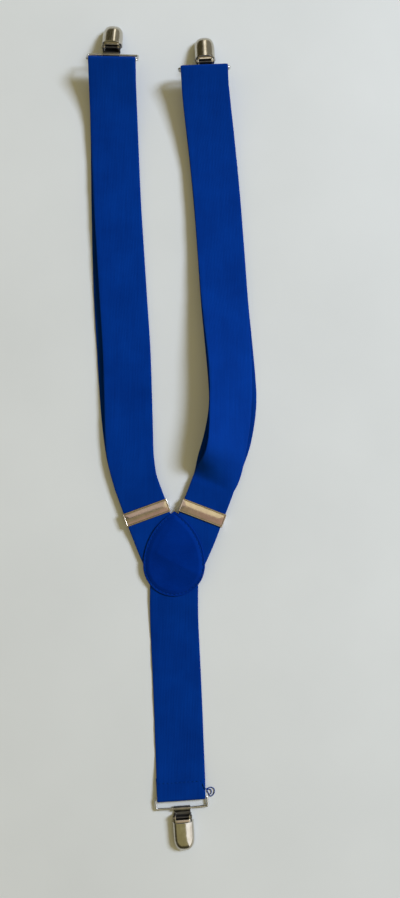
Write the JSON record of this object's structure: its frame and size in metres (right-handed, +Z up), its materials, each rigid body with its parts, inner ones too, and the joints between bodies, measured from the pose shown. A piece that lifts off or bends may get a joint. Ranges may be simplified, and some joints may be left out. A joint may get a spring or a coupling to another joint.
{
  "type": "suspenders",
  "caption": "Y-back clip suspenders in blue elastic webbing with a teardrop yoke, sliding length adjusters and metal lever clips, laid flat.",
  "frame": {"origin": "middle of the yoke's underside, on the surface that the suspenders lie on", "axes": "+Z up, +Y towards the front clips, +X to the right seen from above, with the rear strap towards -Y"},
  "size_m": [0.1254, 0.6043, 0.0233],
  "materials": {
    "webbing": "royal blue woven elastic, fine rib, matt",
    "yoke_leather": "royal blue imitation leather, fine grain, soft sheen",
    "sewing_thread": "blue polyester thread",
    "slide_nickel": "warm nickel plate, bevelled rim",
    "slide_steel": "plated steel bar",
    "clip_nickel": "polished nickel plate",
    "steel_wire": "plated steel wire",
    "spring_steel": "spring steel strip"
  },
  "bodies": {
    "webbing": {"front_strap_left": "webbing", "front_strap_left_return": "webbing", "front_strap_right": "webbing", "front_strap_right_return": "webbing", "rear_strap": "webbing", "yoke_patch_front": "yoke_leather", "yoke_patch_back": "yoke_leather", "yoke_stitching": "sewing_thread", "rear_hem_stitching": "sewing_thread", "thread_tail": "sewing_thread"},
    "slide_left": {"slide_left_plate": "slide_nickel", "slide_left_bar": "slide_steel"},
    "slide_right": {"slide_right_plate": "slide_nickel", "slide_right_bar": "slide_steel"},
    "clip_left_wire": {"clip_left_loop": "steel_wire"},
    "clip_left_body": {"clip_left_base": "clip_nickel", "clip_left_pin": "steel_wire"},
    "clip_left_lever": {"clip_left_lid": "clip_nickel"},
    "clip_left_tongue": {"clip_left_jaw": "spring_steel"},
    "clip_right_wire": {"clip_right_loop": "steel_wire"},
    "clip_right_body": {"clip_right_base": "clip_nickel", "clip_right_pin": "steel_wire"},
    "clip_right_lever": {"clip_right_lid": "clip_nickel"},
    "clip_right_tongue": {"clip_right_jaw": "spring_steel"},
    "clip_rear_wire": {"clip_rear_loop": "steel_wire"},
    "clip_rear_body": {"clip_rear_base": "clip_nickel", "clip_rear_pin": "steel_wire"},
    "clip_rear_lever": {"clip_rear_lid": "clip_nickel"},
    "clip_rear_tongue": {"clip_rear_jaw": "spring_steel"}
  },
  "joints": [
    {"name": "slide_left_travel", "type": "slide", "parent": "webbing", "child": "slide_left", "axis": [-0.342, 0.9397, 0], "range_m": [0, 0.018], "deforming": ["front_strap_left_return"]},
    {"name": "slide_right_travel", "type": "slide", "parent": "webbing", "child": "slide_right", "axis": [0.3584, 0.9336, 0], "range_m": [0, 0.018], "deforming": ["front_strap_right_return"]},
    {"name": "clip_left_loop_swing", "type": "hinge", "parent": "webbing", "child": "clip_left_wire", "pos_m": [-0.0457, 0.3633, 0.017], "axis": [0.9997, -0.0262, 0], "range_deg": [-60, 100]},
    {"name": "clip_left_swing", "type": "hinge", "parent": "clip_left_wire", "child": "clip_left_body", "pos_m": [-0.04685, 0.36922, 0.01235], "axis": [-0.9997, 0.0262, 0], "range_deg": [-70, 80]},
    {"name": "clip_left_lid_open", "type": "hinge", "parent": "clip_left_body", "child": "clip_left_lever", "pos_m": [-0.04669, 0.3752, 0.01218], "axis": [0.9997, -0.0262, 0], "range_deg": [0, 100]},
    {"name": "clip_left_jaw_lift", "type": "hinge", "parent": "clip_left_body", "child": "clip_left_tongue", "pos_m": [-0.04678, 0.37177, 0.01094], "axis": [0.9997, -0.0262, 0], "range_deg": [-2, 16]},
    {"name": "clip_right_loop_swing", "type": "hinge", "parent": "webbing", "child": "clip_right_wire", "pos_m": [0.0219, 0.3573, 0.0168], "axis": [0.999, 0.0436, 0], "range_deg": [-40, 100]},
    {"name": "clip_right_swing", "type": "hinge", "parent": "clip_right_wire", "child": "clip_right_body", "pos_m": [0.02291, 0.35945, 0.0096], "axis": [-0.999, -0.0436, 0], "range_deg": [-50, 80]},
    {"name": "clip_right_lid_open", "type": "hinge", "parent": "clip_right_body", "child": "clip_right_lever", "pos_m": [0.02265, 0.36541, 0.01006], "axis": [0.999, 0.0436, 0], "range_deg": [0, 100]},
    {"name": "clip_right_jaw_lift", "type": "hinge", "parent": "clip_right_body", "child": "clip_right_tongue", "pos_m": [0.02279, 0.36213, 0.00847], "axis": [0.999, 0.0436, 0], "range_deg": [-2, 16]},
    {"name": "clip_rear_loop_swing", "type": "hinge", "parent": "webbing", "child": "clip_rear_wire", "pos_m": [0.0054, -0.1714, 0.00215], "axis": [-0.9976, -0.0698, 0], "range_deg": [-60, 100]},
    {"name": "clip_rear_swing", "type": "hinge", "parent": "clip_rear_wire", "child": "clip_rear_body", "pos_m": [0.00592, -0.17887, 0.0017], "axis": [0.9976, 0.0698, 0], "range_deg": [-70, 80]},
    {"name": "clip_rear_lid_open", "type": "hinge", "parent": "clip_rear_body", "child": "clip_rear_lever", "pos_m": [0.00631, -0.18446, 0.00382], "axis": [-0.9976, -0.0698, 0], "range_deg": [0, 100]},
    {"name": "clip_rear_jaw_lift", "type": "hinge", "parent": "clip_rear_body", "child": "clip_rear_tongue", "pos_m": [0.00613, -0.18176, 0.00137], "axis": [-0.9976, -0.0698, 0], "range_deg": [-2, 16]}
  ],
  "couplings": [
    {"joint": "clip_left_jaw_lift", "follows": "clip_left_lid_open", "ratio": 0.09},
    {"joint": "clip_right_jaw_lift", "follows": "clip_right_lid_open", "ratio": 0.09},
    {"joint": "clip_rear_jaw_lift", "follows": "clip_rear_lid_open", "ratio": 0.09}
  ]
}
